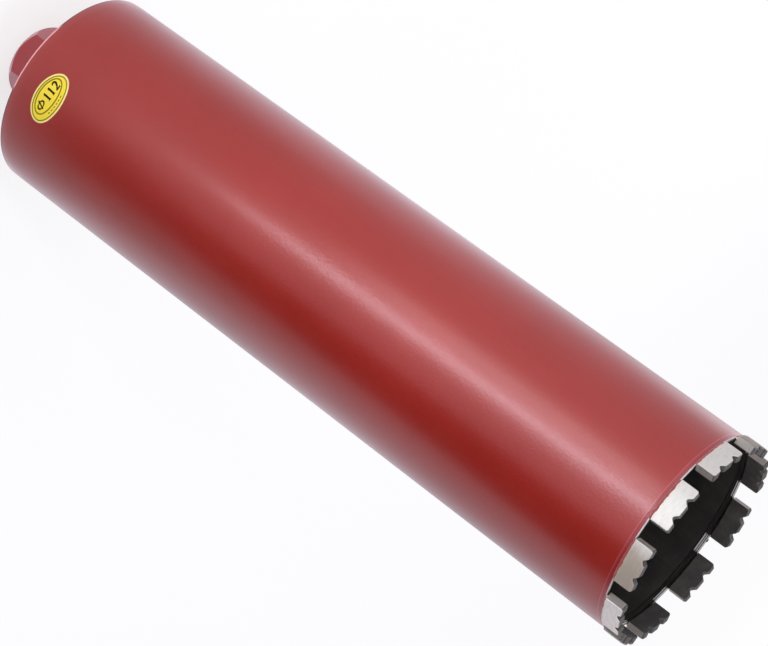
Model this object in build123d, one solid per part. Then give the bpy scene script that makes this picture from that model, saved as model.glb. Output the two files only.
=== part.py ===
"""Diamond core bit for wet drilling, 112 mm crown on a 110 mm barrel.

The bit stands on the end face of its hub, crown up.  The origin is the centre
of that face, where the bit screws onto the spindle of the drill, and +Z runs
along the axis towards the crown.  All sizes are in millimetres.
"""
import os
from math import cos, pi, radians, sin

from build123d import *

# Barrel
barrel_radius = 55.0
barrel_wall = 2.3
barrel_length = 403.0
rear_edge_chamfer = 0.6
rim_bevel_length = 2.4
rim_bevel_depth = 0.45
rim_bore_length = 3.2
rim_bore_depth = 0.35

# Crown
crown_radius = 56.0
segment_count = 10
segment_length = 23.0
segment_thickness = 4.3
segment_height = 10.0
segment_tip_chamfer = 0.8
notch_offset = 5.0
notch_width = 4.6
notch_depth = 2.0
notch_floor = 0.9
notch_floor_round = 0.4
first_segment_angle = -12.0
braze_thickness = 0.5
braze_overhang = 0.45

# How far each segment sits off its even pitch, in degrees: they are brazed on by hand
segment_drift = (2.0, 1.0, 1.0, -1.5, -3.5, -2.0, -2.0, -0.5, 1.0, 3.0)

# Hub, for a 1 1/4 inch - 7 UNC spindle
hub_across_flats = 40.0
hub_length = 33.4
hub_turn = 2.5
hub_chamfer_radius = 18.8
hub_chamfer_angle = 50.0
hub_spigot_radius = 18.5
thread_minor_radius = 13.9
thread_major_radius = 15.9
thread_exit_chamfer = 0.6

# Back plate and welds
plate_thickness = 8.0
plate_groove = 1.5
plate_weld_crown = 0.35
hub_weld_leg = 4.0
hub_weld_corner_round = 9.0

# Oval size label
label_length = 28.8
label_width = 17.6
label_thickness = 0.2
label_angle = 12.4
label_height = 22.2
label_tilt = 6.0

bore_radius = barrel_radius - barrel_wall
rear_z = hub_length
rim_z = rear_z + barrel_length
hub_corner_radius = hub_across_flats / 2 / cos(pi / 6)
segment_foot_z = rim_z + braze_thickness


def lathe(*points):
    """Turned solid from (radius, height) points round the axis."""
    outline = Polyline(*[(r, 0, z) for r, z in points], close=True)
    return revolve(make_face(outline), Axis.Z)


def facing(angle):
    """Frame on the axis whose -Y side faces the given angle, counted from -Y towards +X."""
    return Rot(0, 0, angle)


def make_barrel_tube():
    """Rolled tube with a bevelled rim, a trued rim bore and a weld groove at the rear."""
    return lathe(
        (bore_radius, rear_z + plate_groove),
        (bore_radius + plate_groove, rear_z),
        (barrel_radius - rear_edge_chamfer, rear_z),
        (barrel_radius, rear_z + rear_edge_chamfer),
        (barrel_radius, rim_z - rim_bevel_length),
        (barrel_radius - rim_bevel_depth, rim_z),
        (bore_radius + rim_bore_depth, rim_z),
        (bore_radius + rim_bore_depth, rim_z - rim_bore_length),
        (bore_radius, rim_z - rim_bore_length - rim_bore_depth),
    )


def make_back_plate():
    """Disc pressed into the rear of the barrel, bored for the spigot of the hub."""
    return lathe(
        (hub_spigot_radius, rear_z),
        (bore_radius - plate_groove, rear_z),
        (bore_radius, rear_z + plate_groove),
        (bore_radius, rear_z + plate_thickness),
        (hub_spigot_radius, rear_z + plate_thickness),
    )


def make_plate_weld():
    """Weld ring that fills the groove round the back plate, with a low crown behind it."""
    inner = (bore_radius - plate_groove, 0, rear_z)
    outer = (bore_radius + plate_groove, 0, rear_z)
    root = (bore_radius, 0, rear_z + plate_groove)
    crown = (bore_radius, 0, rear_z - plate_weld_crown)
    outline = Curve() + [Line(inner, root), Line(root, outer), ThreePointArc(outer, crown, inner)]
    return revolve(make_face(outline), Axis.Z)


def hub_hexagon():
    """The hexagon of the hub, one flat facing -Y before it is turned."""
    return Rot(0, 0, hub_turn) * RegularPolygon(hub_corner_radius, 6)


def make_hex_hub():
    """Hexagon with a turned end chamfer, a spigot for the back plate and a bore right through."""
    hexagon = extrude(hub_hexagon(), hub_length)
    chamfer_rise = (hub_corner_radius - hub_chamfer_radius) * sin(radians(hub_chamfer_angle))
    chamfer_rise /= cos(radians(hub_chamfer_angle))
    turned_end = lathe(
        (0, 0),
        (hub_chamfer_radius, 0),
        (hub_corner_radius, chamfer_rise),
        (hub_corner_radius, hub_length),
        (0, hub_length),
    )
    spigot_top = hub_length + plate_thickness
    spigot = Pos(0, 0, hub_length) * extrude(Circle(hub_spigot_radius), plate_thickness)
    lead_in = thread_major_radius - thread_minor_radius
    bore = lathe(
        (0, 0),
        (thread_major_radius, 0),
        (thread_minor_radius, lead_in),
        (thread_minor_radius, spigot_top - thread_exit_chamfer),
        (thread_minor_radius + thread_exit_chamfer, spigot_top),
        (0, spigot_top),
    )
    return (hexagon & turned_end) + spigot - bore


def make_hub_weld():
    """Fillet weld that runs round the foot of the hexagon, on the back plate."""
    foot_radius = hub_corner_radius + hub_weld_leg / cos(pi / 6)
    foot = fillet(RegularPolygon(foot_radius, 6).vertices(), hub_weld_corner_round)
    foot = Pos(0, 0, rear_z) * Rot(0, 0, hub_turn) * foot
    bead = extrude(foot, hub_weld_leg, dir=(0, 0, -1), taper=40)
    hexagon = extrude(hub_hexagon(), hub_length)
    return bead - hexagon


def segment_face():
    """Outline of a segment seen from outside: chamfered tips and two V notches in the cutting edge."""
    body = Pos(0, segment_height / 2) * Rectangle(segment_length, segment_height)
    tips = body.vertices().sort_by(Axis.Y)[-2:]
    body = chamfer(tips, segment_tip_chamfer)
    half_top = notch_width / 2
    half_floor = notch_floor / 2
    notch = Polygon(
        (-half_top, segment_height),
        (-half_floor, segment_height - notch_depth),
        (half_floor, segment_height - notch_depth),
        (half_top, segment_height),
        align=None,
    )
    for side in (-1, 1):
        body -= Pos(side * notch_offset, 0) * notch
    floors = body.vertices().filter_by_position(
        Axis.Y, segment_height - notch_depth - 0.01, segment_height - notch_depth + 0.01
    )
    return fillet(floors, notch_floor_round)


def make_segment(index):
    """Curved block with parallel ends, standing on its film of solder."""
    inner_radius = crown_radius - segment_thickness
    block = extrude(Plane.XZ * segment_face(), crown_radius + 1)
    ring = extrude(Circle(crown_radius) - Circle(inner_radius), segment_height)
    segment = Pos(0, 0, segment_foot_z) * (block & ring)
    return facing(segment_angle(index)) * segment


def segment_angle(index):
    """Where a segment is brazed: its even place round the rim and its own drift."""
    pitch = 360 / segment_count
    return first_segment_angle + index * pitch + segment_drift[index]


def make_braze_joints():
    """One film of solder under each segment, a little wider than the wall it sits on."""
    inner_radius = bore_radius + rim_bore_depth - braze_overhang
    outer_radius = barrel_radius - rim_bevel_depth + braze_overhang
    film_length = segment_length - braze_overhang
    ring = extrude(Circle(outer_radius) - Circle(inner_radius), braze_thickness)
    block = Pos(0, -barrel_radius, braze_thickness / 2) * Box(film_length, 2 * barrel_wall + 6, braze_thickness)
    film = Pos(0, 0, rim_z) * (ring & block)
    return Compound(children=[facing(segment_angle(i)) * film for i in range(segment_count)])


def make_size_label():
    """Oval sticker that lies on the barrel with its long axis round it."""
    oval = Rot(0, 0, -label_tilt) * Ellipse(label_length / 2, label_width / 2)
    plug = extrude(Plane.XZ * oval, barrel_radius + 1)
    height = label_width + label_length / 2
    skin = extrude(Circle(barrel_radius + label_thickness) - Circle(barrel_radius), height, both=True)
    return Pos(0, 0, rear_z + label_height) * facing(label_angle) * (plug & skin)


parts = {
    "barrel_tube": make_barrel_tube(),
    "back_plate": make_back_plate(),
    "plate_weld": make_plate_weld(),
    "hex_hub": make_hex_hub(),
    "hub_weld": make_hub_weld(),
    "braze_joints": make_braze_joints(),
    "size_label": make_size_label(),
}
for index in range(segment_count):
    parts[f"segment_{index + 1:02d}"] = make_segment(index)

os.makedirs("parts", exist_ok=True)
for name, solid in parts.items():
    export_step(solid, f"parts/{name}.step")
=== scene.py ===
"""Looks of the 112 mm diamond core bit: painted barrel, sintered crown, threaded hub, oval label.

Sizes are in millimetres on the part's own frame (hub face at the origin, +Z towards the
crown, -Y towards the label) and become metres when a mesh is made. Node trees work in metres.
"""
from math import cos, degrees, floor, hypot, pi, radians, sin, sqrt, tan

import bmesh
import bpy
from mathutils import Matrix, Vector, noise


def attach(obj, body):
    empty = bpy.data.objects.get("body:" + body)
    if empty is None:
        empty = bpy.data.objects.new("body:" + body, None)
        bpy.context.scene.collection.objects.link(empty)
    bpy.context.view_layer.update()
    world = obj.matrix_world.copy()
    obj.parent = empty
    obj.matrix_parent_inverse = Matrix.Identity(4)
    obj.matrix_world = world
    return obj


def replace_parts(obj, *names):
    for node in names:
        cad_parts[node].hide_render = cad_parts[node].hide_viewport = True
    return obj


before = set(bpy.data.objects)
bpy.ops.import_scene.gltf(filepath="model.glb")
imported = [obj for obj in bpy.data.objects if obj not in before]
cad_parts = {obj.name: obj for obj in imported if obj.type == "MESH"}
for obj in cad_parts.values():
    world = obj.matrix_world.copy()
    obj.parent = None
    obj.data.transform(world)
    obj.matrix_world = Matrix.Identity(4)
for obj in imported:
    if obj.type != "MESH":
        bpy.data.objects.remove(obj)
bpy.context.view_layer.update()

MM = 0.001

# Barrel
BARREL_R = 55.0
BORE_R = 52.7
REAR_Z = 33.4
RIM_Z = 436.4
REAR_ROUND = 0.6
RIM_BEVEL_LENGTH = 2.4
RIM_BEVEL_DEPTH = 0.45
RIM_BORE_LENGTH = 3.2
RIM_BORE_DEPTH = 0.35
BEVEL_Z = RIM_Z - RIM_BEVEL_LENGTH
BAND_Z = RIM_Z - RIM_BORE_LENGTH
RIM_OUTER_R = BARREL_R - RIM_BEVEL_DEPTH
RIM_INNER_R = BORE_R + RIM_BORE_DEPTH
WELD_GROOVE = 1.5
PLATE_THICKNESS = 8.0

# Crown
CROWN_R = 56.0
SEGMENT_THICKNESS = 4.3
CROWN_INNER_R = CROWN_R - SEGMENT_THICKNESS
SEGMENT_LENGTH = 23.0
SEGMENT_COUNT = 10
FIRST_SEGMENT_ANGLE = -12.0
SEGMENT_DRIFT = (2.0, 1.0, 1.0, -1.5, -3.5, -2.0, -2.0, -0.5, 1.0, 3.0)
GAP_ANGLE = 4.0  # middle of one of the evenly spread gaps
FOOT_Z = RIM_Z + 0.5
TIP_Z = FOOT_Z + 10.0

# Hub
ACROSS_FLATS = 40.0
HUB_CORNER_R = ACROSS_FLATS / 2 / cos(pi / 6)
HUB_CORNER_BREAK = 0.12
HUB_TURN = 2.5
HUB_CHAMFER_R = 18.8
HUB_CHAMFER_ANGLE = 50.0
SPIGOT_R = 18.5
SPIGOT_END_Z = 41.4
THREAD_PITCH = 25.4 / 7
THREAD_MINOR_R = 13.9
THREAD_MAJOR_R = 15.9
THREAD_EXIT_CHAMFER = 0.6
HUB_WELD_LEG = 4.0
HUB_WELD_INNER_R = HUB_CORNER_R - 3.5

# Label
LABEL_LENGTH = 28.8
LABEL_WIDTH = 17.6
LABEL_ANGLE = 12.4
LABEL_Z = REAR_Z + 22.2
LABEL_TILT = 6.0
LABEL_FILM = 0.12
LABEL_INK = 0.03


# ---------------------------------------------------------------- helpers

def mesh_piece(name, points, faces, materials, face_material=None, sharp_angle=35.0):
    """Object from points in millimetres, smooth except over edges sharper than sharp_angle."""
    mesh = bpy.data.meshes.new(name)
    mesh.from_pydata([Vector(p) * MM for p in points], [], faces)
    mesh.validate()
    return finish_piece(name, mesh, materials, face_material, sharp_angle)


def finish_piece(name, mesh, materials, face_material, sharp_angle):
    """Object that shows the mesh, rides on the part and takes its finish from the materials."""
    for material in materials:
        mesh.materials.append(material)
    if face_material is not None:
        for polygon in mesh.polygons:
            polygon.material_index = face_material(polygon)
    mesh.polygons.foreach_set("use_smooth", [True] * len(mesh.polygons))
    mesh.set_sharp_from_angle(angle=radians(sharp_angle))
    mesh.update()
    piece = bpy.data.objects.new(name, mesh)
    bpy.context.scene.collection.objects.link(piece)
    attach(piece, "root")
    return piece


def around(radius, angle, height):
    """Point at an angle in degrees, counted from -Y towards +X."""
    return (radius * sin(radians(angle)), -radius * cos(radians(angle)), height)


def ring_faces(rows, columns):
    """Quads between rows of points that close on themselves, and from the last row to the first."""
    faces = []
    for i in range(rows):
        below = i * columns
        above = (i + 1) % rows * columns
        for j in range(columns):
            k = (j + 1) % columns
            faces.append((below + j, below + k, above + k, above + j))
    return faces


def lathe(name, profile, materials, face_material, steps, wobble=None):
    """Closed ring turned from a closed profile of (radius, height) points, counter-clockwise."""
    points = []
    for radius, height in profile:
        for j in range(steps):
            angle = 360.0 * j / steps
            shift = wobble(angle, radius, height) if wobble else 0.0
            points.append(around(radius + shift, angle, height))
    faces = ring_faces(len(profile), steps)
    return mesh_piece(name, points, faces, materials, face_material)


def spread(start, end, count):
    """Points along a straight line, without its end."""
    return [tuple(a + (b - a) * i / count for a, b in zip(start, end)) for i in range(count)]


def soft_noise(x, y, z, scale):
    """Smooth noise from -1 to 1, with features about scale millimetres across."""
    return noise.noise(Vector((x, y, z)) / scale)


class Nodes:
    """Short way to write a material's node tree."""

    def __init__(self, name):
        self.material = bpy.data.materials.new(name)
        self.material.use_nodes = True
        self.tree = self.material.node_tree
        self.shader = self.tree.nodes["Principled BSDF"]

    def add(self, kind, inputs=None, **settings):
        """New node; each input is a plain value or the socket that feeds it."""
        node = self.tree.nodes.new("ShaderNode" + kind)
        for key, value in settings.items():
            setattr(node, key, value)
        for key, value in (inputs or {}).items():
            self.put(node.inputs[key], value)
        return node

    def put(self, socket, value):
        if isinstance(value, bpy.types.NodeSocket):
            self.tree.links.new(value, socket)
        else:
            socket.default_value = value

    def set(self, **inputs):
        """Feed the shader's own sockets, named with underscores."""
        for key, value in inputs.items():
            self.put(self.shader.inputs[key.replace("_", " ")], value)

    def position(self):
        return self.add("TexCoord").outputs["Object"]

    def stretched(self, scale, source=None):
        return self.add("Mapping", {"Vector": source or self.position(), "Scale": scale}).outputs[0]

    def noise(self, scale, detail=3.0, roughness=0.55, source=None):
        inputs = {"Vector": source or self.position(), "Scale": scale}
        inputs.update({"Detail": detail, "Roughness": roughness})
        return self.add("TexNoise", inputs).outputs["Fac"]

    def cells(self, scale):
        """Distance to the nearest of scattered points."""
        inputs = {"Vector": self.position(), "Scale": scale}
        return self.add("TexVoronoi", inputs).outputs["Distance"]

    def math(self, operation, a, b=0.0, c=0.0):
        return self.add("Math", {0: a, 1: b, 2: c}, operation=operation).outputs[0]

    def times(self, a, b):
        return self.math("MULTIPLY", a, b)

    def step(self, value, low, high, to_low=0.0, to_high=1.0):
        """Smooth change from to_low to to_high while value goes from low to high."""
        inputs = {"Value": value, "From Min": low, "From Max": high}
        inputs.update({"To Min": to_low, "To Max": to_high})
        return self.add("MapRange", inputs, interpolation_type="SMOOTHSTEP").outputs[0]

    def step_mm(self, value, low, high, to_low=0.0, to_high=1.0):
        """The same for a length, its limits in millimetres."""
        return self.step(value, low * MM, high * MM, to_low, to_high)

    def blend(self, fac, a, b):
        """Colour a where fac is 0, b where it is 1."""
        node = self.add("Mix", data_type="RGBA")
        self.put(node.inputs["Factor"], fac)
        self.put(node.inputs[6], a)
        self.put(node.inputs[7], b)
        return node.outputs[2]

    def number(self, fac, a, b):
        """Number a where fac is 0, b where it is 1."""
        node = self.add("Mix", data_type="FLOAT")
        self.put(node.inputs["Factor"], fac)
        self.put(node.inputs[2], a)
        self.put(node.inputs[3], b)
        return node.outputs[0]

    def bump(self, height, distance, strength):
        inputs = {"Height": height, "Distance": distance, "Strength": strength}
        return self.add("Bump", inputs).outputs[0]

    def split(self):
        """The x, y and z of the position, in metres."""
        return self.add("SeparateXYZ", {0: self.position()}).outputs

    def radius_and_turn(self):
        """Distance from the axis, arc round the barrel from its label side, and height, in metres."""
        x, y, z = self.split()
        flat = self.add("CombineXYZ", {0: x, 1: y})
        radius = self.add("VectorMath", {0: flat.outputs[0]}, operation="LENGTH").outputs["Value"]
        turn = self.times(self.math("ARCTAN2", x, self.times(y, -1.0)), BARREL_R * MM)
        return radius, turn, z

    def distance_to(self, place):
        """Distance from a point given in metres."""
        inputs = {0: self.position(), 1: place}
        return self.add("VectorMath", inputs, operation="DISTANCE").outputs["Value"]

    def unrolled(self, scale):
        """Coordinates along and across the barrel, so a pattern wraps round it."""
        radius, turn, z = self.radius_and_turn()
        flat = self.add("CombineXYZ", {0: turn, 1: z, 2: radius}).outputs[0]
        return self.stretched(scale, flat)


# ---------------------------------------------------------------- materials

PAINT_RED = (0.350, 0.0165, 0.0095, 1)
PAINT_RED_DEEP = (0.317, 0.0130, 0.0065, 1)
PAINT_MOTTLE = (0.42, 0.035, 0.030, 1)
# Lighter red of the hub: painted light
PAINT_HUB_LIT = (0.40, 0.022, 0.019, 1)
PAINT_HUB_LIT_DEEP = (0.37, 0.018, 0.015, 1)
# Painted shade of the rim bevel, and a painted highlight on its ridge
PAINT_BEVEL_SHADE = (0.27, 0.010, 0.020, 1)
PAINT_RIDGE_HIGHLIGHT = (0.62, 0.13, 0.15, 1)
# Painted shade and painted highlight of the rounded rear edge
PAINT_REAR_EDGE_SHADE = (0.11, 0.010, 0.013, 1)
PAINT_REAR_EDGE_HIGHLIGHT = (0.92, 0.40, 0.40, 1)
PAINT_METAL = 0.10
# Painted highlight on the rear edge: middle of its arc, and how far to each side it fades, in millimetres
REAR_EDGE_HIGHLIGHT_ARC = (-1.7, 18.0, 22.0)
STEEL_LIGHT = (0.62, 0.59, 0.56, 1)
STEEL_STAIN = (0.46, 0.42, 0.39, 1)
STEEL_DARK = (0.050, 0.045, 0.042, 1)
SCALE_WARM = (0.085, 0.072, 0.064, 1)
SCALE_DRAWN = (0.105, 0.095, 0.088, 1)
# Painted shade of the trued band, behind the segments and on its step
BAND_SHADE = (0.012, 0.010, 0.009, 1)
BAND_RING = (0.070, 0.062, 0.058, 1)
BAND_BRIGHT = (0.82, 0.79, 0.76, 1)
BAND_LINES = ((0.55, 0.95), (1.45, 1.85))  # dark lines, in millimetres below the rim
THREAD_ROOT = (0.20, 0.18, 0.16, 1)
THREAD_CHATTER = (0.28, 0.25, 0.22, 1)
SOLDER_LIGHT = (0.70, 0.64, 0.55, 1)
SOLDER_BROWN = (0.34, 0.27, 0.22, 1)
SOLDER_INSIDE_DARK = (0.040, 0.030, 0.024, 1)
BOND_LIGHT = (0.67, 0.63, 0.585, 1)
BOND_WARM = (0.64, 0.58, 0.52, 1)
# Painted shade on one segment, warm tan
BOND_TAN_SHADE = (0.49, 0.395, 0.31, 1)
BOND_DARK = (0.26, 0.24, 0.22, 1)
# Painted shade of the segments' ends, notches, tips and inner face
BOND_END_SHADE = (0.32, 0.275, 0.24, 1)
BOND_SHADE = (0.048, 0.044, 0.041, 1)
BOND_SHADE_WARM = (0.084, 0.074, 0.062, 1)
# Painted shade on another segment, and painted light on a third
BOND_BROWN_SHADE = (0.20, 0.155, 0.12, 1)
BOND_PAINTED_LIGHT = (0.90, 0.84, 0.80, 1)
# Lighter outer edge of the tips' painted shade
BOND_TIP_EDGE = (0.20, 0.185, 0.17, 1)
BOND_GRIT = (0.70, 0.67, 0.50, 1)
BOND_HEAT = (0.66, 0.57, 0.44, 1)
# Angle, colour, and the distances in millimetres over which the colour fades, of spots of painted shade on
# two segments and painted light on a third
BOND_LIGHT_AND_SHADE_SPOTS = ((29.0, BOND_TAN_SHADE, 1.0, 10.0), (-76.0, BOND_BROWN_SHADE, 4.0, 12.0), (60.0, BOND_PAINTED_LIGHT, 5.0, 9.0))
BOND_SPOT_Z = FOOT_Z + 5.5


def paint_layers(n, light, deep):
    """Satin red paint with its mottle, orange peel and dust nibs; returns the colour."""
    cloud = n.noise(14.0, 3.0)
    mottle = n.noise(900.0, 2.0)
    colour = n.blend(n.step(cloud, 0.3, 0.7), light, deep)
    colour = n.blend(n.step(mottle, 0.35, 0.75, 0.0, 0.12), colour, PAINT_MOTTLE)
    peel = n.noise(850.0, 3.0, 0.5)
    nibs = n.step(n.cells(160.0), 0.03, 0.10, 1.0, 0.0)
    rare = n.step(n.noise(35.0, 1.0), 0.60, 0.66)
    height = n.math("MULTIPLY_ADD", n.times(nibs, rare), 0.5, peel)
    normal = n.bump(height, 0.00011, 0.5)
    n.set(Roughness=n.number(n.noise(60.0, 4.0), 0.34, 0.40), Normal=normal, Coat_Normal=normal)
    n.set(Coat_Weight=0.8, Coat_Roughness=0.26)
    return colour


def red_paint():
    """Paint of the back plate and the welds."""
    n = Nodes("red_paint")
    n.set(Base_Color=paint_layers(n, PAINT_RED, PAINT_RED_DEEP), Metallic=PAINT_METAL)
    return n.material


def hub_paint():
    """Paint of the hub: a little lighter than the barrel's, which is painted light, and less glossy."""
    n = Nodes("hub_paint")
    n.set(Base_Color=paint_layers(n, PAINT_HUB_LIT, PAINT_HUB_LIT_DEEP), Metallic=PAINT_METAL)
    n.set(Coat_Weight=0.55)
    return n.material


def barrel_paint():
    """Paint of the barrel: painted shade on the rim bevel with a painted highlight on its ridge, painted
    shade and a painted highlight on the rear edge, gone at the very rim.
    """
    n = Nodes("barrel_paint")
    colour = paint_layers(n, PAINT_RED, PAINT_RED_DEEP)
    _, turn, z = n.radius_and_turn()
    ragged = n.noise(330.0, 4.0, 0.6)
    edge = n.math("MULTIPLY_ADD", ragged, 0.0012, z)
    bare = n.step_mm(edge, RIM_Z + 0.30, RIM_Z + 0.42)
    # Painted shade on the rim bevel, and a painted highlight on the ridge where the bevel begins
    band = n.step_mm(z, BEVEL_Z - 0.1, BEVEL_Z + 0.25, 0.0, 0.6)
    colour = n.blend(band, colour, PAINT_BEVEL_SHADE)
    ridge_highlight = n.times(n.step_mm(z, BEVEL_Z - 0.45, BEVEL_Z - 0.2),
                    n.step_mm(z, BEVEL_Z, BEVEL_Z + 0.25, 0.4, 0.0))
    colour = n.blend(ridge_highlight, colour, PAINT_RIDGE_HIGHLIGHT)
    # The rounded rear edge gets painted shade, and a painted highlight over one arc of it
    rear = n.math("MULTIPLY_ADD", ragged, 0.0003, z)
    rear_edge_shading = n.step_mm(rear, REAR_Z + 1.05, REAR_Z + 1.3, 0.95, 0.0)
    centre, inner, outer = REAR_EDGE_HIGHLIGHT_ARC
    along = n.math("ABSOLUTE", n.math("ADD", turn, -centre * MM))
    rear_edge_highlight = n.step_mm(along, inner, outer, 1.0, 0.0)
    colour = n.blend(rear_edge_shading, colour, n.blend(rear_edge_highlight, PAINT_REAR_EDGE_SHADE, PAINT_REAR_EDGE_HIGHLIGHT))
    colour = n.blend(bare, colour, STEEL_LIGHT)
    n.set(Base_Color=colour, Metallic=n.number(bare, PAINT_METAL, 1.0))
    return n.material


def rim_steel():
    """Faced end of the barrel: bright outside, a dark scaled ring, and a bright inner edge."""
    n = Nodes("rim_steel")
    radius, _, z = n.radius_and_turn()
    wander = n.math("MULTIPLY_ADD", n.noise(90.0, 2.0), 0.0003, radius)
    ring = n.times(n.step_mm(wander, BORE_R + 0.62, BORE_R + 0.75),
                   n.step_mm(wander, BORE_R + 1.10, BORE_R + 1.25, 1.0, 0.0))
    stain = n.noise(220.0, 4.0, 0.6)
    colour = n.blend(n.step(stain, 0.35, 0.7), STEEL_LIGHT, STEEL_STAIN)
    colour = n.blend(n.times(ring, 0.9), colour, STEEL_DARK)
    n.set(Base_Color=colour, Metallic=0.9, Roughness=n.number(stain, 0.34, 0.52))
    grooves = n.math("SINE", n.times(n.math("ADD", radius, z), 2 * pi / 0.00035))
    n.set(Normal=n.bump(grooves, 0.00001, 0.5))
    return n.material


def bore_steel():
    """Dark mill scale inside the barrel, with a few drawn lines along it."""
    n = Nodes("bore_steel")
    lines = n.noise(1.0, 3.0, 0.6, n.unrolled((900.0, 14.0, 1.0)))
    scale = n.noise(55.0, 4.0, 0.6)
    colour = n.blend(n.step(scale, 0.35, 0.7), STEEL_DARK, SCALE_WARM)
    colour = n.blend(n.step(lines, 0.45, 0.8, 0.0, 0.4), colour, SCALE_DRAWN)
    n.set(Base_Color=colour, Metallic=0.7, Roughness=n.number(scale, 0.42, 0.6))
    n.set(Normal=n.bump(lines, 0.00003, 0.6))
    return n.material


def turned_band():
    """Trued band just inside the rim: painted shade behind the segments and on its step, bright with two dark
    lines in the gaps.
    """
    n = Nodes("turned_band")
    _, turn, z = n.radius_and_turn()
    rings = n.math("SINE", n.times(z, 2 * pi / 0.0009))
    uneven = n.noise(1.0, 3.0, 0.6, n.unrolled((90.0, 1400.0, 1.0)))
    fac = n.math("MULTIPLY_ADD", rings, 0.25, uneven)
    on_wall = n.step_mm(z, BAND_Z, BAND_Z + 0.2)
    fac = n.times(n.step(fac, 0.35, 0.9), on_wall)
    colour = n.blend(fac, BAND_SHADE, BAND_RING)
    # The cosine is 1 near the middle of each gap and -1 behind each segment
    waves = SEGMENT_COUNT / (BARREL_R * MM)
    gap_wave = n.math("MULTIPLY_ADD", turn, waves, -radians(SEGMENT_COUNT * GAP_ANGLE))
    # The band shows bright steel only in the gaps; behind the segments and on its step it keeps the painted
    # shade
    clear = n.step(n.math("COSINE", gap_wave), 0.50, 0.70)
    sideways = n.step(n.math("ABSOLUTE", n.split()[0]), 0.012, 0.018, 0.0, 0.0012)
    wall = n.step_mm(n.math("SUBTRACT", z, sideways), RIM_Z - 2.7, RIM_Z - 2.5)
    for low, high in BAND_LINES:
        below = n.step_mm(z, RIM_Z - high - 0.06, RIM_Z - high + 0.06, 1.0, 0.0)
        above = n.step_mm(z, RIM_Z - low - 0.06, RIM_Z - low + 0.06)
        wall = n.times(wall, n.math("MAXIMUM", below, above))
    colour = n.blend(n.times(clear, wall), colour, BAND_BRIGHT)
    n.set(Base_Color=colour, Metallic=0.0, Roughness=0.7, Specular_IOR_Level=0.15)
    n.set(Normal=n.bump(rings, 0.00002, 0.6))
    return n.material


def segment_bond():
    """Sintered bond: ground bright outside, painted shade on its ends, tips and inner face and in the
    notches, painted shade and light on three segments, with pale grit.
    """
    n = Nodes("segment_bond")
    radius, _, z = n.radius_and_turn()
    upward = n.add("SeparateXYZ", {0: n.add("TexCoord").outputs["Normal"]}).outputs[2]
    marks = n.noise(1.0, 4.0, 0.65, n.stretched((260.0, 260.0, 900.0)))
    grain = n.noise(2600.0, 3.0, 0.7)
    cloud = n.noise(120.0, 3.0, 0.6)
    # Ground outer face, with painted shade on two of the segments and painted light on a third
    colour = n.blend(n.step(cloud, 0.38, 0.72, 0.0, 0.5), BOND_LIGHT, BOND_WARM)
    for angle, tint, low, high in BOND_LIGHT_AND_SHADE_SPOTS:
        away = n.distance_to(Vector(around(CROWN_R, angle, BOND_SPOT_Z)) * MM)
        reach = n.math("MULTIPLY_ADD", cloud, -0.014, away)
        colour = n.blend(n.step_mm(reach, low, high, 0.85, 0.0), colour, tint)
    colour = n.blend(n.step(marks, 0.42, 0.75, 0.0, 0.16), colour, BOND_DARK)
    # Ends, notches, tips and inner face, all in painted shade; the tips a little lighter at their outer edge
    ends = n.step_mm(radius, CROWN_R - 0.45, CROWN_R - 0.25, 1.0, 0.0)
    colour = n.blend(ends, colour, n.blend(n.step(cloud, 0.35, 0.7), BOND_END_SHADE, BOND_DARK))
    below_tip = n.step_mm(z, TIP_Z - 0.45, TIP_Z - 0.25, 1.0, 0.0)
    notch_shade = n.times(n.step(upward, 0.2, 0.45), below_tip)
    colour = n.blend(n.times(notch_shade, ends), colour, BOND_SHADE)
    tip_shade = n.times(n.step(upward, 0.6, 0.8), n.math("SUBTRACT", 1.0, below_tip))
    tip_outer_edge = n.step_mm(radius, CROWN_R - 1.1, CROWN_R - 0.4)
    colour = n.blend(tip_shade, colour, n.blend(tip_outer_edge, BOND_SHADE, BOND_TIP_EDGE))
    inside = n.step_mm(radius, CROWN_INNER_R + 0.25, CROWN_INNER_R + 0.5, 1.0, 0.0)
    colour = n.blend(inside, colour, n.blend(n.step(cloud, 0.4, 0.7), BOND_SHADE, BOND_SHADE_WARM))
    # Grain and grit, fainter under the painted shade inside
    grainy = n.number(inside, 0.4, 0.12)
    colour = n.blend(n.times(n.step(grain, 0.58, 0.72), grainy), colour, BOND_DARK)
    speck = n.step(n.cells(1150.0), 0.16, 0.24, 1.0, 0.0)
    grit = n.times(speck, n.step(n.noise(700.0, 0.0), 0.5, 0.56))
    colour = n.blend(n.times(grit, grainy), colour, BOND_GRIT)
    # Heat tint above the solder, and the ragged edge of the barrel's paint on the foot
    low = n.math("MULTIPLY_ADD", n.noise(240.0, 3.0), 0.003, z)
    heat = n.step_mm(low, FOOT_Z + 1.2, FOOT_Z + 3.4, 0.35, 0.0)
    colour = n.blend(n.times(heat, n.math("SUBTRACT", 1.0, inside)), colour, BOND_HEAT)
    ragged = n.math("MULTIPLY_ADD", n.noise(300.0, 4.0, 0.6), 0.0019, z)
    outside = n.step_mm(radius, CROWN_R - 0.5, CROWN_R - 0.3)
    painted = n.times(n.step_mm(ragged, FOOT_Z + 1.12, FOOT_Z + 1.28, 1.0, 0.0), outside)
    colour = n.blend(painted, colour, PAINT_RED)
    metal = n.number(n.math("MAXIMUM", painted, inside), 0.50, 0.05)
    rough = n.number(n.noise(500.0, 3.0), 0.48, 0.62)
    height = n.math("MULTIPLY_ADD", marks, 0.5, grain)
    n.set(Base_Color=colour, Metallic=metal, Roughness=rough, Normal=n.bump(height, 0.00003, 0.5))
    return n.material


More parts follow.
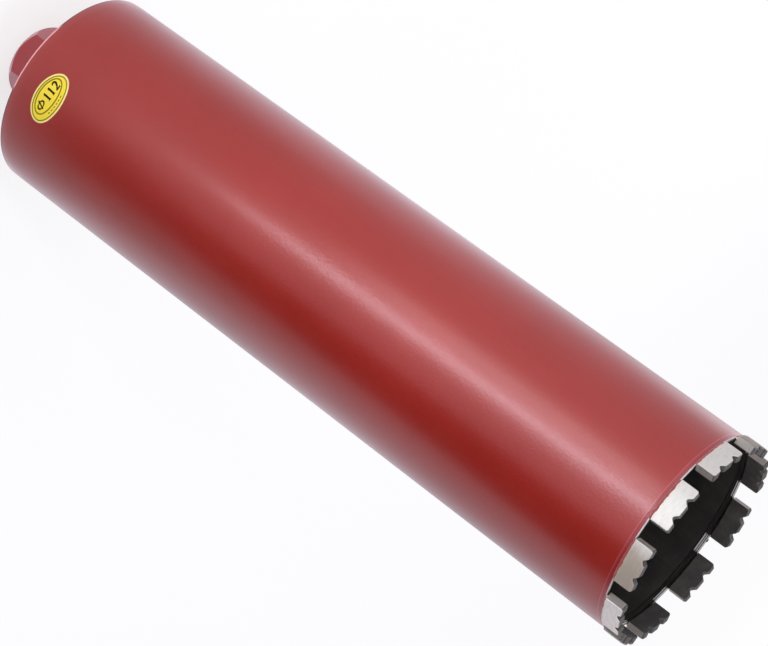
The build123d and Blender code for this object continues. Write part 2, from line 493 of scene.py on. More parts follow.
def solder():
    """Silver solder with the red paint mist that reached it from outside, dark inside the barrel."""
    n = Nodes("solder")
    radius = n.radius_and_turn()[0]
    blot = n.noise(420.0, 4.0, 0.6)
    colour = n.blend(n.step(blot, 0.4, 0.7), SOLDER_LIGHT, SOLDER_BROWN)
    outside = n.step_mm(radius, BARREL_R - 0.35, BARREL_R - 0.15)
    mist = n.times(outside, n.step(blot, 0.30, 0.62, 1.0, 0.75))
    colour = n.blend(mist, colour, PAINT_RED)
    inside = n.step_mm(radius, BARREL_R - 1.2, BARREL_R - 0.9, 1.0, 0.0)
    colour = n.blend(inside, colour, SOLDER_INSIDE_DARK)
    metal = n.number(n.math("MAXIMUM", mist, inside), 0.9, 0.0)
    n.set(Base_Color=colour, Metallic=metal, Roughness=n.number(blot, 0.3, 0.5))
    n.set(Normal=n.bump(blot, 0.00005, 0.6))
    return n.material


def hub_bore_steel():
    """Cut thread of the hub, bright on the crests and darker in the roots."""
    n = Nodes("hub_bore_steel")
    radius = n.radius_and_turn()[0]
    root = n.step_mm(radius, THREAD_MINOR_R + 0.3, THREAD_MAJOR_R - 0.2)
    chatter = n.noise(1.0, 3.0, 0.6, n.unrolled((1500.0, 90.0, 1.0)))
    colour = n.blend(root, STEEL_LIGHT, THREAD_ROOT)
    colour = n.blend(n.step(chatter, 0.45, 0.75, 0.0, 0.4), colour, THREAD_CHATTER)
    n.set(Base_Color=colour, Metallic=1.0, Roughness=n.number(chatter, 0.25, 0.45))
    n.set(Normal=n.bump(chatter, 0.00002, 0.5))
    return n.material


def label_print(name, colour, fade, gloss):
    """Printed film: ink with a slight screen mottle under more or less of a clear coat."""
    n = Nodes(name)
    mottle = n.noise(1500.0, 3.0, 0.6)
    n.set(Base_Color=n.blend(n.step(mottle, 0.3, 0.75, 0.0, 0.3), colour, fade))
    n.set(Roughness=n.number(n.noise(200.0, 3.0), 0.24, 0.34), Normal=n.bump(mottle, 0.00001, 0.3))
    n.set(Specular_IOR_Level=0.1 + 0.4 * gloss, Coat_Weight=gloss, Coat_Roughness=0.3)
    return n.material


paint = red_paint()
paint_hub = hub_paint()
paint_barrel = barrel_paint()
steel_rim = rim_steel()
steel_bore = bore_steel()
steel_band = turned_band()
steel_thread = hub_bore_steel()
bond = segment_bond()
silver = solder()
ink_yellow = label_print("label_yellow", (1.0, 0.755, 0.02, 1), (0.98, 0.72, 0.02, 1), 1.0)
ink_pale = label_print("label_pale", (1.0, 0.82, 0.28, 1), (0.98, 0.78, 0.24, 1), 1.0)
ink_olive = label_print("label_olive", (0.22, 0.16, 0.005, 1), (0.34, 0.26, 0.01, 1), 0.3)
ink_black = label_print("label_black", (0.012, 0.008, 0.005, 1), (0.03, 0.02, 0.01, 1), 0.0)


# ---------------------------------------------------------------- barrel, plate and welds

TUBE_WAVE = 0.02
TUBE_WAVE_LENGTH = 70.0
WELD_STEPS = 720


def barrel_wobble(angle, radius, height):
    """The rolled tube is out of round and waves along its length, never past its nominal radius."""
    x, y, z = around(radius, angle, height)
    return -TUBE_WAVE + TUBE_WAVE * soft_noise(x, y, z, TUBE_WAVE_LENGTH)


def make_barrel():
    """Tube with its rounded rear edge, bevelled and trued rim, and weld groove, in four finishes."""
    arc = [(BARREL_R - REAR_ROUND * (1 - sin(a)), REAR_Z + REAR_ROUND * (1 - cos(a)))
           for a in [pi / 2 * i / 6 for i in range(6)]]
    outer = spread((BARREL_R, REAR_Z + REAR_ROUND), (BARREL_R, BEVEL_Z - 0.3), 90)
    outer += spread((BARREL_R, BEVEL_Z - 0.3), (BARREL_R - 0.02, BEVEL_Z), 2)
    outer += spread((BARREL_R - 0.02, BEVEL_Z), (RIM_OUTER_R, RIM_Z - 0.15), 8)
    rim = [(RIM_OUTER_R - 0.04, RIM_Z - 0.04)]
    rim += spread((RIM_OUTER_R - 0.15, RIM_Z), (RIM_INNER_R + 0.12, RIM_Z), 4)
    rim += [(RIM_INNER_R + 0.12, RIM_Z)]
    band = spread((RIM_INNER_R, RIM_Z - 0.12), (RIM_INNER_R, BAND_Z), 8)
    step = [(RIM_INNER_R, BAND_Z), (BORE_R, BAND_Z - RIM_BORE_DEPTH)]
    inner = spread((BORE_R, BAND_Z - RIM_BORE_DEPTH - 0.2), (BORE_R, REAR_Z + WELD_GROOVE), 40)
    groove = [(BORE_R, REAR_Z + WELD_GROOVE), (BORE_R + WELD_GROOVE, REAR_Z)]
    profile = arc + outer + rim + band + step + inner + groove
    first_rim = len(arc) + len(outer) - 1
    first_band = first_rim + len(rim)
    first_inner = first_band + len(band) + 2
    steps = 384

    def zone(polygon):
        row = polygon.index // steps
        if row < first_rim:
            return 0
        if row < first_band:
            return 1
        return 2 if row < first_inner else 3

    finishes = [paint_barrel, steel_rim, steel_band, steel_bore]
    piece = lathe("barrel", profile, finishes, zone, steps, barrel_wobble)
    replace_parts(piece, "barrel_tube")


def make_plate():
    """Round plate that closes the rear of the barrel: painted outside, bare inside."""
    top_z = REAR_Z + PLATE_THICKNESS
    profile = spread((SPIGOT_R, REAR_Z), (BORE_R - WELD_GROOVE, REAR_Z), 12)
    profile += [(BORE_R - WELD_GROOVE, REAR_Z), (BORE_R, REAR_Z + WELD_GROOVE)]
    profile += [(BORE_R, top_z)] + spread((BORE_R, top_z), (SPIGOT_R, top_z), 12)[1:] + [(SPIGOT_R, top_z)]

    def zone(polygon):
        return 1 if polygon.center.z > (REAR_Z + 2.0) * MM else 0

    piece = lathe("rear_plate", profile, [paint, steel_bore], zone, 256)
    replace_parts(piece, "back_plate")


def ripple(arc, z_shift, spacing):
    """Crescent ripples that a weld pool leaves, 1 at each crest."""
    phase = (arc + z_shift) / spacing
    return 1.0 - abs(2.0 * (phase - floor(phase)) - 1.0) ** 2


def make_plate_weld():
    """Weld ring round the plate, rippled and slightly uneven."""
    spans = 8
    angles = [360.0 * j / WELD_STEPS for j in range(WELD_STEPS)]
    points = []
    for i in range(spans + 1):
        across = i / spans * 2.0 - 1.0
        for angle in angles:
            x, y, z = around(BORE_R, angle, 0)
            arc = radians(angle) * BORE_R
            crown = 0.22 + 0.08 * ripple(arc, -0.9 * across ** 2, 1.5) + 0.04 * soft_noise(x, y, z, 6.0)
            height = REAR_Z - crown * (1.0 - across ** 2)
            points.append(around(BORE_R + WELD_GROOVE * across, angle, height))
    points += [around(BORE_R, angle, REAR_Z + WELD_GROOVE) for angle in angles]
    piece = mesh_piece("plate_weld_bead", points, ring_faces(spans + 2, WELD_STEPS), [paint])
    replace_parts(piece, "plate_weld")


def hexagon_radius(angle, half_flats, corner_cap):
    """Radius of the hub's hexagon at an angle, its corners just broken at corner_cap."""
    from_flat = (angle - HUB_TURN + 30.0) % 60.0 - 30.0
    return min(half_flats / cos(radians(from_flat)), corner_cap)


def make_hub_weld():
    """Fillet weld round the foot of the hexagon, over a ring inside it that closes the mesh."""
    spans = 10
    angles = [HUB_TURN + 360.0 * j / WELD_STEPS for j in range(WELD_STEPS)]
    points = []
    half = ACROSS_FLATS / 2
    for i in range(spans + 1):
        out = i / spans
        for angle in angles:
            inner = hexagon_radius(angle, half, HUB_CORNER_R) - 0.1
            outer = hexagon_radius(angle, half + HUB_WELD_LEG, HUB_CORNER_R + 0.8 * HUB_WELD_LEG)
            radius = inner + (outer - inner) * out
            x, y, z = around(radius, angle, 0)
            arc = radians(angle) * outer
            bulge = sin(pi * out) * (0.10 + 0.22 * ripple(arc, -1.2 * (2 * out - 1) ** 2, 1.9))
            bulge += sin(pi * out) * 0.12 * soft_noise(x, y, z, 4.0)
            rise = max(HUB_WELD_LEG * 0.93 * (1.0 - out) + bulge, 0.0)
            points.append(around(radius + 0.3 * bulge, angle, REAR_Z - rise))
    points += [around(HUB_WELD_INNER_R, angle, REAR_Z) for angle in angles]
    piece = mesh_piece("hub_weld_bead", points, ring_faces(spans + 2, WELD_STEPS), [paint])
    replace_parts(piece, "hub_weld")


# ---------------------------------------------------------------- hub

def thread_radius(angle, height):
    """Wall of the 60 degree internal thread, right-handed, with its lead-in and exit chamfers."""
    turn = (height / THREAD_PITCH - angle / 360.0) % 1.0
    from_crest = min(turn, 1.0 - turn)
    crest_flat = 0.125
    root_flat = 0.0625
    rise = (from_crest - crest_flat) / (0.5 - crest_flat - root_flat)
    wall = THREAD_MINOR_R + (THREAD_MAJOR_R - THREAD_MINOR_R) * min(max(rise, 0.0), 1.0)
    lead_in = THREAD_MAJOR_R - height
    exit_chamfer = THREAD_MINOR_R + THREAD_EXIT_CHAMFER - (SPIGOT_END_Z - height)
    return max(wall, lead_in, exit_chamfer)


def make_hub():
    """Hexagon with its turned chamfer, spigot and cut thread, as one ring of quads."""
    steps = 360
    chamfer_spans = 8
    side_spans = 4
    rows_per_turn = 16
    half = ACROSS_FLATS / 2
    slope = tan(radians(HUB_CHAMFER_ANGLE))
    angles = [HUB_TURN + 360.0 * j / steps for j in range(steps)]
    sides = [hexagon_radius(a, half, HUB_CORNER_R - HUB_CORNER_BREAK) for a in angles]
    ends = [(side - HUB_CHAMFER_R) * slope for side in sides]
    points = [around(HUB_CHAMFER_R - 0.35, a, 0.0) for a in angles]
    points += [around(HUB_CHAMFER_R - 0.12, a, 0.05) for a in angles]
    for k in range(chamfer_spans + 1):
        share = 0.04 + 0.95 * k / chamfer_spans
        points += [around(HUB_CHAMFER_R + (side - HUB_CHAMFER_R) * share, a, end * share)
                   for a, side, end in zip(angles, sides, ends)]
    for k in range(side_spans + 1):
        share = 0.004 + 0.996 * k / side_spans
        points += [around(side, a, end + (REAR_Z - end) * share) for a, side, end in zip(angles, sides, ends)]
    points += [around(SPIGOT_R, a, REAR_Z) for a in angles]
    outer_rows = len(points) // steps
    points += [around(SPIGOT_R, a, SPIGOT_END_Z) for a in angles]
    inner_steps = int(SPIGOT_END_Z / THREAD_PITCH * rows_per_turn)
    for i in range(inner_steps + 1):
        height = SPIGOT_END_Z * (1.0 - i / inner_steps)
        points += [around(thread_radius(a, height), a, height) for a in angles]
    rows = len(points) // steps

    def zone(polygon):
        row = polygon.index // steps
        return 0 if row < outer_rows - 1 or row == rows - 1 else 1

    faces = ring_faces(rows, steps)
    piece = mesh_piece("threaded_hub", points, faces, [paint_hub, steel_thread], zone, 28.0)
    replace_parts(piece, "hex_hub")


# ---------------------------------------------------------------- crown

SEGMENT_VOXEL = 0.2
# The skin turns rougher from CUT_FOOT above the segment's foot, over CUT_RISE
CUT_FOOT = 7.0
CUT_RISE = 2.0
PIT_PATTERN = 1.9
GRAIN_PATTERN = 3.3
BRAZE_STATIONS = 56
DRIP_ANGLE = 186.5
DRIP_R = BORE_R + 1.2
DRIP_SIZE = 0.8


def segment_angle(index):
    """Angle of a segment's middle, with its own drift."""
    return FIRST_SEGMENT_ANGLE + index * 360.0 / SEGMENT_COUNT + SEGMENT_DRIFT[index]


def make_segments():
    """Each pressed block with worn-in edges and a pitted skin, worked from its own solid."""
    for index in range(SEGMENT_COUNT):
        node = f"segment_{index + 1:02d}"
        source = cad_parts[node].data.copy()
        shell = bmesh.new()
        shell.from_mesh(source)
        bmesh.ops.remove_doubles(shell, verts=shell.verts, dist=1e-6)
        shell.to_mesh(source)
        shell.free()
        rough = bpy.data.objects.new("rough", source)
        bpy.context.scene.collection.objects.link(rough)
        remesh = rough.modifiers.new("remesh", "REMESH")
        remesh.mode = "VOXEL"
        remesh.voxel_size = SEGMENT_VOXEL * MM
        soften = rough.modifiers.new("soften", "SMOOTH")
        soften.factor = 0.5
        soften.iterations = 2
        evaluated = rough.evaluated_get(bpy.context.evaluated_depsgraph_get())
        mesh = bpy.data.meshes.new_from_object(evaluated)
        bpy.data.objects.remove(rough)
        normals = [v.normal.copy() for v in mesh.vertices]
        for vertex, normal in zip(mesh.vertices, normals):
            p = vertex.co / MM
            on_cut = min(max((p.z - FOOT_Z - CUT_FOOT) / CUT_RISE, 0.0), 1.0)
            pits = max(noise.noise(p * PIT_PATTERN + Vector((index, 0, 0))) - 0.25, 0.0)
            grain = 0.5 + 0.5 * noise.noise(p * GRAIN_PATTERN)
            depth = 0.01 + 0.05 * grain * (0.35 + on_cut) + 0.16 * pits * (0.3 + on_cut)
            vertex.co -= normal * depth * MM
        mesh.materials.clear()
        piece = finish_piece(f"diamond_segment_{index + 1:02d}", mesh, [bond], None, 180.0)
        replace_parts(piece, node)


def braze_section(swell):
    """Closed section of the solder under a segment: film, outer fillet and inner fillet."""
    outermost = CROWN_R - 0.08
    innermost = CROWN_INNER_R + 0.08
    section = [(RIM_OUTER_R - 0.6, -0.05), (RIM_OUTER_R + 0.08, -0.9 * swell)]
    section += [(RIM_OUTER_R + 0.55 * swell, -0.45 * swell), (RIM_OUTER_R + 0.95 * swell, 0.05)]
    section += [(min(outermost, RIM_OUTER_R + 1.3 * swell), 0.42)]
    section += [(min(outermost, RIM_OUTER_R + 1.32 * swell), 0.62)]
    section += [(CROWN_R - 0.6, 0.66), (CROWN_INNER_R + 0.6, 0.66)]
    section += [(max(innermost, RIM_INNER_R - 1.25 * swell), 0.62)]
    section += [(max(innermost, RIM_INNER_R - 1.2 * swell), 0.42)]
    section += [(RIM_INNER_R - 0.8 * swell, 0.0), (RIM_INNER_R - 0.4 * swell, -0.4 * swell)]
    section += [(RIM_INNER_R - 0.05, -0.7 * swell), (RIM_INNER_R + 0.6, -0.05)]
    return section


def make_braze():
    """Solder under all ten segments, swelling and shrinking along each, and one drip left on the rim."""
    points = []
    faces = []
    half = SEGMENT_LENGTH / 2
    size = len(braze_section(1.0))
    for index in range(SEGMENT_COUNT):
        centre = segment_angle(index)
        start = len(points)
        for i in range(BRAZE_STATIONS + 1):
            along = -1.0 + 2.0 * i / BRAZE_STATIONS
            arc = along * (half + 0.15)
            angle = centre + degrees(arc / CROWN_R)
            swell = 0.86 + 0.22 * noise.noise(Vector((arc * 0.45, index * 7.3, 0.0)))
            swell *= sqrt(max(1.0 - abs(along) ** 14, 0.04))
            for radius, rise in braze_section(swell):
                points.append(around(radius, angle, RIM_Z + rise))
        for i in range(BRAZE_STATIONS):
            for j in range(size):
                k = (j + 1) % size
                a = start + i * size
                b = a + size
                faces.append((a + j, b + j, b + k, a + k))
        faces.append(tuple(start + j for j in range(size)))
        faces.append(tuple(start + BRAZE_STATIONS * size + j for j in reversed(range(size))))
    add_drip(points, faces, DRIP_ANGLE, DRIP_R, RIM_Z, DRIP_SIZE)
    piece = mesh_piece("silver_solder", points, faces, [silver], None, 60.0)
    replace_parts(piece, "braze_joints")


def add_drip(points, faces, angle, radius, height, size):
    """Low uneven drop of solder, half a ball."""
    start = len(points)
    rings = 6
    columns = 14
    x, y, z = around(radius, angle, height)
    for i in range(rings + 1):
        lift = pi / 2 * i / rings
        for j in range(columns):
            turn = 2 * pi * j / columns
            uneven = noise.noise(Vector((3 * cos(turn), 3 * sin(turn), lift)))
            reach = size * cos(lift) * (1.0 + 0.25 * uneven)
            rise = -0.05 + 0.8 * size * sin(lift)
            points.append((x + 1.3 * reach * cos(turn), y + reach * sin(turn), z + rise))
    for i in range(rings):
        for j in range(columns):
            k = (j + 1) % columns
            a = start + i * columns
            faces.append((a + j, a + k, a + columns + k, a + columns + j))
    faces.append(tuple(start + j for j in reversed(range(columns))))


# ---------------------------------------------------------------- label

OVAL_STEPS = 96
OVAL_BANDS = 22
FIELD_INSET = (0.9, 0.85)
OUTER_RING_INSET = (1.05, 0.95)
OUTER_RING_WIDTH = 0.6
INNER_RING_HALF = (10.9, 5.7)
INNER_RING_CENTRE = (0.4, 1.0)
INNER_RING_WIDTH = 0.75
BAR_PLACES = (-5.6, -3.5, -1.4, 0.7, 2.8, 4.9)
BAR_STEP = 0.65
BAR_WIDTH = 0.5
BAR_OUTER_INSET = (1.67, 1.62)
DIGIT_HEIGHT = 5.2
DIGIT_FOOT = -1.6
DIGIT_TOP = DIGIT_FOOT + DIGIT_HEIGHT
STEM = 1.1
PHI_HALF = (2.35, 1.45)
PHI_MIDDLE = 1.35
PHI_STEPS = 36


def on_label(x, y, lift):
    """Point of the flat label wrapped onto the barrel; its text stands with its head towards the hub."""
    c = cos(radians(LABEL_TILT))
    s = sin(radians(LABEL_TILT))
    arc = -(x * c + y * s)
    up = -(-x * s + y * c)
    angle = LABEL_ANGLE + degrees(arc / BARREL_R)
    return around(BARREL_R + lift, angle, LABEL_Z + up)


class Print:
    """Flat shapes gathered as one thin raised layer of the label."""

    def __init__(self, name, material, low, high):
        self.name = name
        self.material = material
        self.low = low
        self.high = high
        self.points = []
        self.faces = []

    def band(self, left, right, closed=False):
        """Solid strip between two equal rows of flat points."""
        start = len(self.points)
        count = len(left)
        for lift in (self.low, self.high):
            for row in (left, right):
                self.points += [on_label(x, y, lift) for x, y in row]
        last = count if closed else count - 1
        for i in range(last):
            k = (i + 1) % count
            l0, r0, l1, r1 = (start + m * count for m in range(4))
            self.faces += [(l1 + i, r1 + i, r1 + k, l1 + k), (l0 + k, r0 + k, r0 + i, l0 + i)]
            self.faces += [(l0 + i, l1 + i, l1 + k, l0 + k), (r0 + k, r1 + k, r1 + i, r0 + i)]
        if not closed:
            for i in (0, count - 1):
                self.faces.append(tuple(start + m * count + i for m in (0, 1, 3, 2)))

    def ring(self, half_x, half_y, width, cx=0.0, cy=0.0):
        """Elliptical ring whose outer edge has the given half axes."""
        turn = [2 * pi * i / OVAL_STEPS for i in range(OVAL_STEPS)]
        outer = [(cx + half_x * cos(t), cy + half_y * sin(t)) for t in turn]
        inner = [(cx + (half_x - width) * cos(t), cy + (half_y - width) * sin(t)) for t in turn]
        self.band(outer, inner, closed=True)

    def oval(self, half_x, half_y):
        """Filled ellipse of concentric bands, so that it follows the barrel."""
        turn = [2 * pi * i / OVAL_STEPS for i in range(OVAL_STEPS)]
        for i in range(OVAL_BANDS):
            outer = 1.0 - i / OVAL_BANDS
            inner = 1.0 - (i + 1) / OVAL_BANDS
            self.band([(half_x * outer * cos(t), half_y * outer * sin(t)) for t in turn],
                      [(half_x * inner * cos(t), half_y * inner * sin(t)) for t in turn], closed=True)

    def stroke(self, path, widths):
        """Line along a path: one width for all of it, or a list with one for each point."""
        left = []
        right = []
        for i, (x, y) in enumerate(path):
            before = path[max(i - 1, 0)]
            after = path[min(i + 1, len(path) - 1)]
            dx, dy = after[0] - before[0], after[1] - before[1]
            size = hypot(dx, dy)
            w = widths[i] / 2 if isinstance(widths, list) else widths / 2
            left.append((x - dy / size * w, y + dx / size * w))
            right.append((x + dy / size * w, y - dx / size * w))
        self.band(left, right)

    def make(self):
        """Object of all the shapes gathered."""
        piece = mesh_piece(self.name, self.points, self.faces, [self.material], None, 40.0)
        return piece


def arc_path(cx, cy, rx, ry, start, end, steps):
    """Points of an elliptical arc, angles in degrees counter-clockwise from +x."""
    turns = [radians(start + (end - start) * i / steps) for i in range(steps + 1)]
    return [(cx + rx * cos(t), cy + ry * sin(t)) for t in turns]


def draw_one(ink, x):
    """Bold figure one with a short foot and flag."""
    ink.stroke([(x, DIGIT_FOOT), (x, DIGIT_TOP)], STEM)
    ink.stroke([(x - 0.95, DIGIT_FOOT + 0.2), (x + 0.85, DIGIT_FOOT + 0.2)], 0.4)
    flag = [(x - 1.05, DIGIT_TOP - 1.0), (x - 0.6, DIGIT_TOP - 0.75), (x - 0.1, DIGIT_TOP - 0.3)]
    ink.stroke(flag, [0.2, 0.4, 0.6])


def draw_two(ink, x):
    """Bold figure two: bowl, slanting neck and foot."""
    bowl = arc_path(x, DIGIT_TOP - 1.5, 1.15, 1.1, 165, -35, 20)
    neck = [(x + 0.35, DIGIT_FOOT + 1.75), (x - 0.55, DIGIT_FOOT + 1.0), (x - 1.2, DIGIT_FOOT + 0.5)]
    widths = [0.6 + 0.5 * min(i / 9.0, 1.0) for i in range(len(bowl))] + [0.95, 0.75, 0.55]
    ink.stroke(bowl + neck, widths)
    ink.stroke([(x - 1.5, DIGIT_FOOT + 0.42), (x + 1.35, DIGIT_FOOT + 0.42)], 0.84)
    ink.stroke([(x + 1.25, DIGIT_FOOT + 0.3), (x + 1.5, DIGIT_FOOT + 1.2)], [0.5, 0.25])


def draw_phi(ink, x):
    """Diameter sign: a wide ring, bold at its sides, crossed by a leaning bar."""
    ring = arc_path(x, PHI_MIDDLE, *PHI_HALF, 0, 360, PHI_STEPS)
    ink.stroke(ring, [0.45 + 0.5 * abs(cos(2 * pi * i / PHI_STEPS)) for i in range(PHI_STEPS + 1)])
    ink.stroke([(x - 0.75, PHI_MIDDLE - 2.2), (x + 0.85, PHI_MIDDLE + 2.5)], 0.85)


def make_label():
    """Oval film with its pale edge, two printed rings, the size mark and a row of plain bars at its foot."""
    half_l = LABEL_LENGTH / 2
    half_w = LABEL_WIDTH / 2
    field_top = LABEL_FILM + 0.4 * LABEL_INK
    top = LABEL_FILM + LABEL_INK
    base = Print("label_film", ink_pale, 0.0, LABEL_FILM)
    base.oval(half_l, half_w)
    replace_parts(base.make(), "size_label")
    field = Print("label_field", ink_yellow, LABEL_FILM, field_top)
    field.oval(half_l - FIELD_INSET[0], half_w - FIELD_INSET[1])
    field.make()
    inner_l, inner_w = INNER_RING_HALF
    inner_x, inner_y = INNER_RING_CENTRE
    inset_l, inset_w = OUTER_RING_INSET
    outer_l, outer_w = half_l - BAR_OUTER_INSET[0], half_w - BAR_OUTER_INSET[1]
    rings = Print("label_rings", ink_olive, field_top, top)
    rings.ring(half_l - inset_l, half_w - inset_w, OUTER_RING_WIDTH)
    rings.ring(inner_l, inner_w, INNER_RING_WIDTH, inner_x, inner_y)
    # Each bar runs along the middle of the space between the two rings
    for x in BAR_PLACES:
        row = []
        for k in range(3):
            u = x + BAR_STEP * (k - 1)
            above = inner_y - inner_w * sqrt(1.0 - ((u - inner_x) / inner_l) ** 2)
            below = -outer_w * sqrt(1.0 - (u / outer_l) ** 2)
            row.append((u, (above + below) / 2))
        rings.stroke(row, BAR_WIDTH)
    rings.make()
    ink = Print("label_size_mark", ink_black, field_top, top)
    draw_phi(ink, -5.45)
    draw_one(ink, 0.05)
    draw_one(ink, 3.65)
    draw_two(ink, 7.3)
    ink.make()


# ---------------------------------------------------------------- stage, light and camera, in metres

WHITE = (1, 1, 1, 1)
SKY_TINT = (0.94, 0.93, 1.0, 1)
FLOOR_TINT = (0.95, 0.92, 1.08, 1)
FLOOR_GREY = (0.62, 0.62, 0.62, 1)
FLOOR_SIZE = 28.0
# Spots of the floor as the barrel mirrors them: centre, and where they begin and end to fade
DIM_SPOT = ((0.23, 0.30, 0.0), 0.12, 0.27)
LIT_SPOT = ((-0.36, 0.60, 0.0), 0.15, 0.42)
DARK_SPOT = ((0.155, -0.185, 0.0), 0.055, 0.135)
FLAG_BLACK = (0.01, 0.01, 0.01, 1)
FLAG_ANGLE = 51.5
FLAG_DISTANCE = 0.32
FLAG_LEFT = 0.1075
FLAG_RIGHT_LOW = 0.065
FLAG_RIGHT_HIGH = 0.20
FLAG_HEIGHT = 0.49
STRIP_DISTANCE = 0.36
STRIP_ANGLE = -4.0
STRIP_COLOUR = (0.82, 0.90, 1.0)
LAMP_COLOUR = (0.97, 0.98, 1.0)
CAMERA_PLACE = (0.0, -1.09227, 0.71930)
CAMERA_RIGHT = (-0.594663, 0.315957, 0.739288)
CAMERA_DOWN = (0.803973, 0.231448, 0.547777)
CAMERA_AHEAD = (0.001967, 0.920110, -0.391655)
CAMERA_LENS = 112.75


def spot(n, centre, inner, outer):
    """1 within a soft round spot of the floor, 0 outside it."""
    return n.step(n.distance_to(centre), inner, outer, 1.0, 0.0)


def stage_card(name, corners):
    """Flat card with four corners, part of the studio and not of the object."""
    mesh = bpy.data.meshes.new(name)
    mesh.from_pydata(corners, [], [(0, 1, 2, 3)])
    card = bpy.data.objects.new(name, mesh)
    bpy.context.scene.collection.objects.link(card)
    return card


def make_floor():
    """Pale floor: near white to the camera, with the object's soft shadow, and greyer in reflections."""
    half = FLOOR_SIZE / 2
    card = stage_card("floor", [(-half, -half, 0), (half, -half, 0), (half, half, 0), (-half, half, 0)])
    n = Nodes("floor_white")
    tree = n.tree
    tree.nodes.remove(n.shader)
    matt = n.add("BsdfDiffuse", {"Color": FLOOR_GREY})
    path = n.add("LightPath").outputs
    flat = n.add("VectorMath", {0: n.position()}, operation="LENGTH").outputs["Value"]
    # Glow of the floor in the barrel's reflections, by distance and side
    far = n.step(flat, 1.2, 3.5)
    front = n.step(flat, 0.15, 0.75, 0.0, 0.24)
    behind = n.step(flat, 0.55, 1.1, 0.48, 0.28)
    near = n.number(n.step(n.split()[1], -0.08, 0.10), front, behind)
    under = n.step(flat, 0.075, 0.12, 0.9, 0.0)
    to_camera = n.times(path["Is Camera Ray"], n.number(far, 0.71, 1.03))
    dim = spot(n, *DIM_SPOT)
    lit = spot(n, *LIT_SPOT)
    shade = n.math("MULTIPLY_ADD", dim, -0.32, n.math("MULTIPLY_ADD", lit, 0.35, 1.0))
    reflected = n.math("MAXIMUM", n.number(far, n.times(near, shade), 0.60), under)
    strength = n.math("MULTIPLY_ADD", path["Is Glossy Ray"], reflected, to_camera)
    tint = n.blend(path["Is Camera Ray"], FLOOR_TINT, WHITE)
    glow = n.add("Emission", {"Color": tint, "Strength": strength})
    # Part of the lit surface that gives way to black: its far part to the camera, a patch in reflections
    patch = n.times(spot(n, *DARK_SPOT), 0.85)
    patch = n.times(patch, path["Is Glossy Ray"])
    hidden = n.times(n.number(far, 0.45, 1.0), path["Is Camera Ray"])
    faded = n.add("MixShader", {0: n.math("MAXIMUM", hidden, patch)})
    tree.links.new(matt.outputs[0], faded.inputs[1])
    dark = n.add("BsdfDiffuse", {"Color": (0, 0, 0, 1)})
    tree.links.new(dark.outputs[0], faded.inputs[2])
    both = n.add("AddShader")
    tree.links.new(faded.outputs[0], both.inputs[0])
    tree.links.new(glow.outputs[0], both.inputs[1])
    out = [k for k in tree.nodes if k.type == "OUTPUT_MATERIAL"][0]
    tree.links.new(both.outputs[0], out.inputs["Surface"])
    card.data.materials.append(n.material)


def make_flag():
    """Black card that stands beside the object, out of the camera's sight, and darkens one band of it."""
    x, y, _ = around(FLAG_DISTANCE, FLAG_ANGLE, 0)
    c = cos(radians(FLAG_ANGLE))
    s = sin(radians(FLAG_ANGLE))
    outline = [(-FLAG_LEFT, 0.0), (FLAG_RIGHT_LOW, 0.0)]
    outline += [(FLAG_RIGHT_HIGH, FLAG_HEIGHT), (-FLAG_LEFT, FLAG_HEIGHT)]
    card = stage_card("flag", [(x + c * across, y + s * across, up) for across, up in outline])
    n = Nodes("flag")
    n.set(Base_Color=FLAG_BLACK, Roughness=0.9)
    card.data.materials.append(n.material)
    card.visible_camera = False


def area_light(name, place, target, width, height, power, colour=LAMP_COLOUR):
    """Rectangular lamp that looks at its target, and that the camera doesn't see."""
    data = bpy.data.lights.new(name, "AREA")
    data.shape = "RECTANGLE"
    data.size = width
    data.size_y = height
    data.energy = power
    data.color = colour
    lamp = bpy.data.objects.new(name, data)
    bpy.context.scene.collection.objects.link(lamp)
    lamp.location = place
    lamp.rotation_mode = "QUATERNION"
    lamp.rotation_quaternion = (Vector(target) - Vector(place)).to_track_quat("-Z", "Y")
    lamp.visible_camera = False


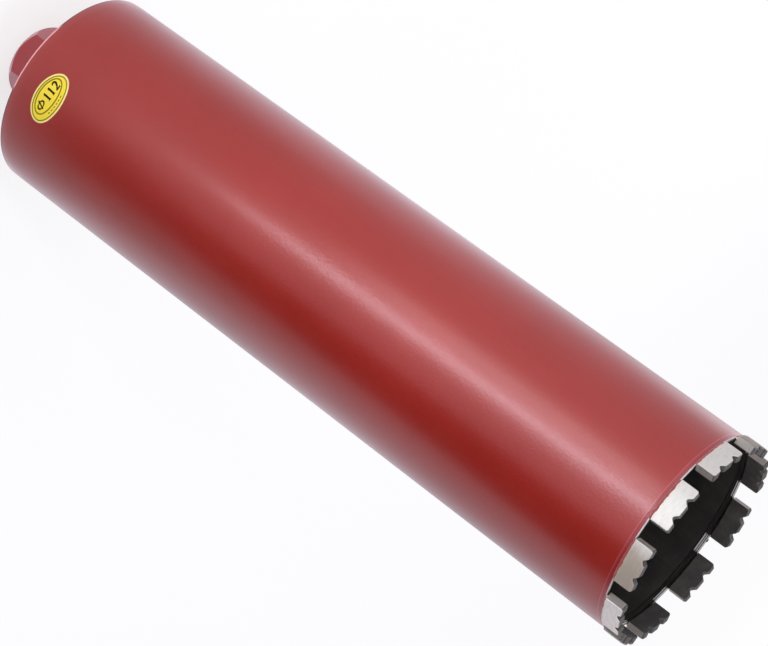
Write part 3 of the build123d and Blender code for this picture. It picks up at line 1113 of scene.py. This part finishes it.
def make_lights():
    """Strips in front for the long highlight, a large soft key on the left, and fills."""
    for name, height, length, power in (("strip", 0.245, 0.42, 0.53), ("strip_top", 0.38, 0.18, 0.14)):
        place = around(STRIP_DISTANCE, STRIP_ANGLE, height)
        area_light(name, place, (0, 0, height), 0.04, length, power, STRIP_COLOUR)
    area_light("wing", around(STRIP_DISTANCE, -20.0, 0.25), (0, 0, 0.25), 0.08, 0.27, 0.14)
    area_light("key", around(1.5, -40.0, 0.9), (0, 0, 0.22), 1.0, 1.0, 2.1)
    area_light("top", (0.0, 0.1, 2.2), (0, 0, 0.2), 1.6, 1.6, 6.4)
    area_light("back_left", around(1.3, -140.0, 0.5), (0, 0, 0.25), 0.8, 1.0, 1.5)


def make_world():
    """Even pale surroundings: pure white to the camera and in reflections, dimmer as a light."""
    world = bpy.data.worlds.new("studio")
    bpy.context.scene.world = world
    world.use_nodes = True
    tree = world.node_tree
    background = tree.nodes["Background"]
    path = tree.nodes.new("ShaderNodeLightPath").outputs
    seen = path["Is Camera Ray"]
    for kind in ("Is Glossy Ray", "Is Transmission Ray"):
        either = tree.nodes.new("ShaderNodeMath")
        either.operation = "MAXIMUM"
        tree.links.new(seen, either.inputs[0])
        tree.links.new(path[kind], either.inputs[1])
        seen = either.outputs[0]
    strength = tree.nodes.new("ShaderNodeMapRange")
    strength.inputs["To Min"].default_value = 0.70
    strength.inputs["To Max"].default_value = 1.0
    tree.links.new(seen, strength.inputs["Value"])
    tree.links.new(strength.outputs[0], background.inputs["Strength"])
    tint = tree.nodes.new("ShaderNodeMix")
    tint.data_type = "RGBA"
    tint.inputs[6].default_value = SKY_TINT
    tint.inputs[7].default_value = WHITE
    tree.links.new(path["Is Camera Ray"], tint.inputs["Factor"])
    tree.links.new(tint.outputs[2], background.inputs["Color"])


def make_camera():
    """Long lens 23 degrees above the label's side, rolled so that the crown is low on the right."""
    data = bpy.data.cameras.new("camera")
    data.lens = CAMERA_LENS
    data.sensor_width = 36.0
    data.clip_start = 0.05
    data.clip_end = 60.0
    camera = bpy.data.objects.new("camera", data)
    bpy.context.scene.collection.objects.link(camera)
    axes = (Vector(CAMERA_RIGHT), -Vector(CAMERA_DOWN), -Vector(CAMERA_AHEAD))
    turn = Matrix(axes).transposed().to_4x4()
    camera.matrix_world = Matrix.Translation(Vector(CAMERA_PLACE)) @ turn
    bpy.context.scene.camera = camera


make_barrel()
make_plate()
make_plate_weld()
make_hub_weld()
make_hub()
make_segments()
make_braze()
make_label()
make_floor()
make_flag()
make_lights()
make_world()
make_camera()
bpy.context.scene.view_settings.view_transform = "Standard"
